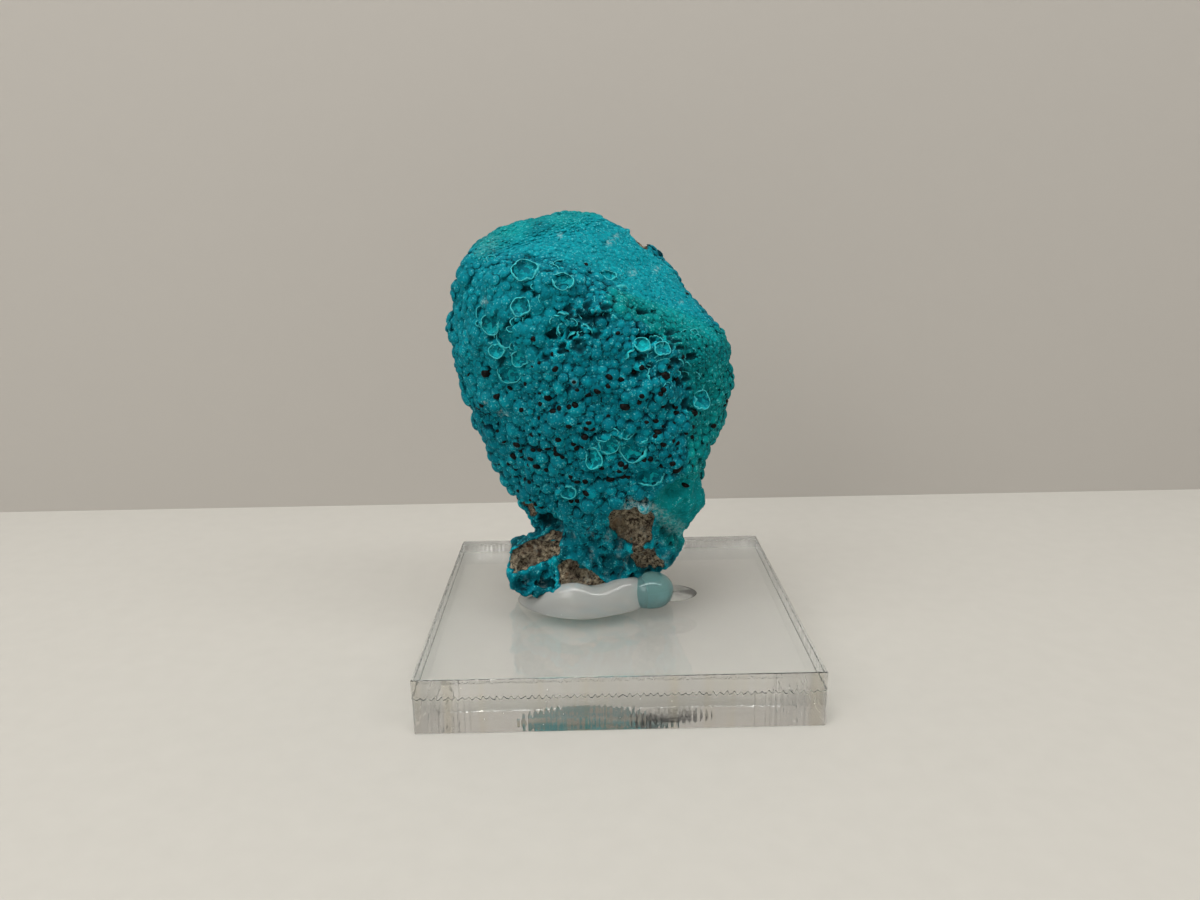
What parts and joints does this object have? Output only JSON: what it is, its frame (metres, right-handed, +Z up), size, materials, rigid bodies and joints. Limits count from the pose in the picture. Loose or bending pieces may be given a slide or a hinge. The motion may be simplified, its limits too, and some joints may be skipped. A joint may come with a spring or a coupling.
{
  "type": "chrysocolla specimen on an acrylic base",
  "caption": "Upright chrysocolla stone with a grape-like blue-green crust over brown matrix, glued by its narrow foot to a clear square acrylic display base.",
  "frame": {"origin": "middle of the underside of the acrylic base", "axes": "+Z up from the base to the top of the stone, +X to the viewer's right with the crusted front facing -Y"},
  "size_m": [0.0446, 0.0446, 0.0545],
  "materials": {
    "chrysocolla": "satin",
    "acrylic": "polished",
    "glue": "gloss"
  },
  "bodies": {
    "root": {"chrysocolla": "chrysocolla", "display_base": "acrylic", "glue_pad": "glue", "glue_drop": "glue", "glue_patch": "glue"}
  },
  "joints": []
}
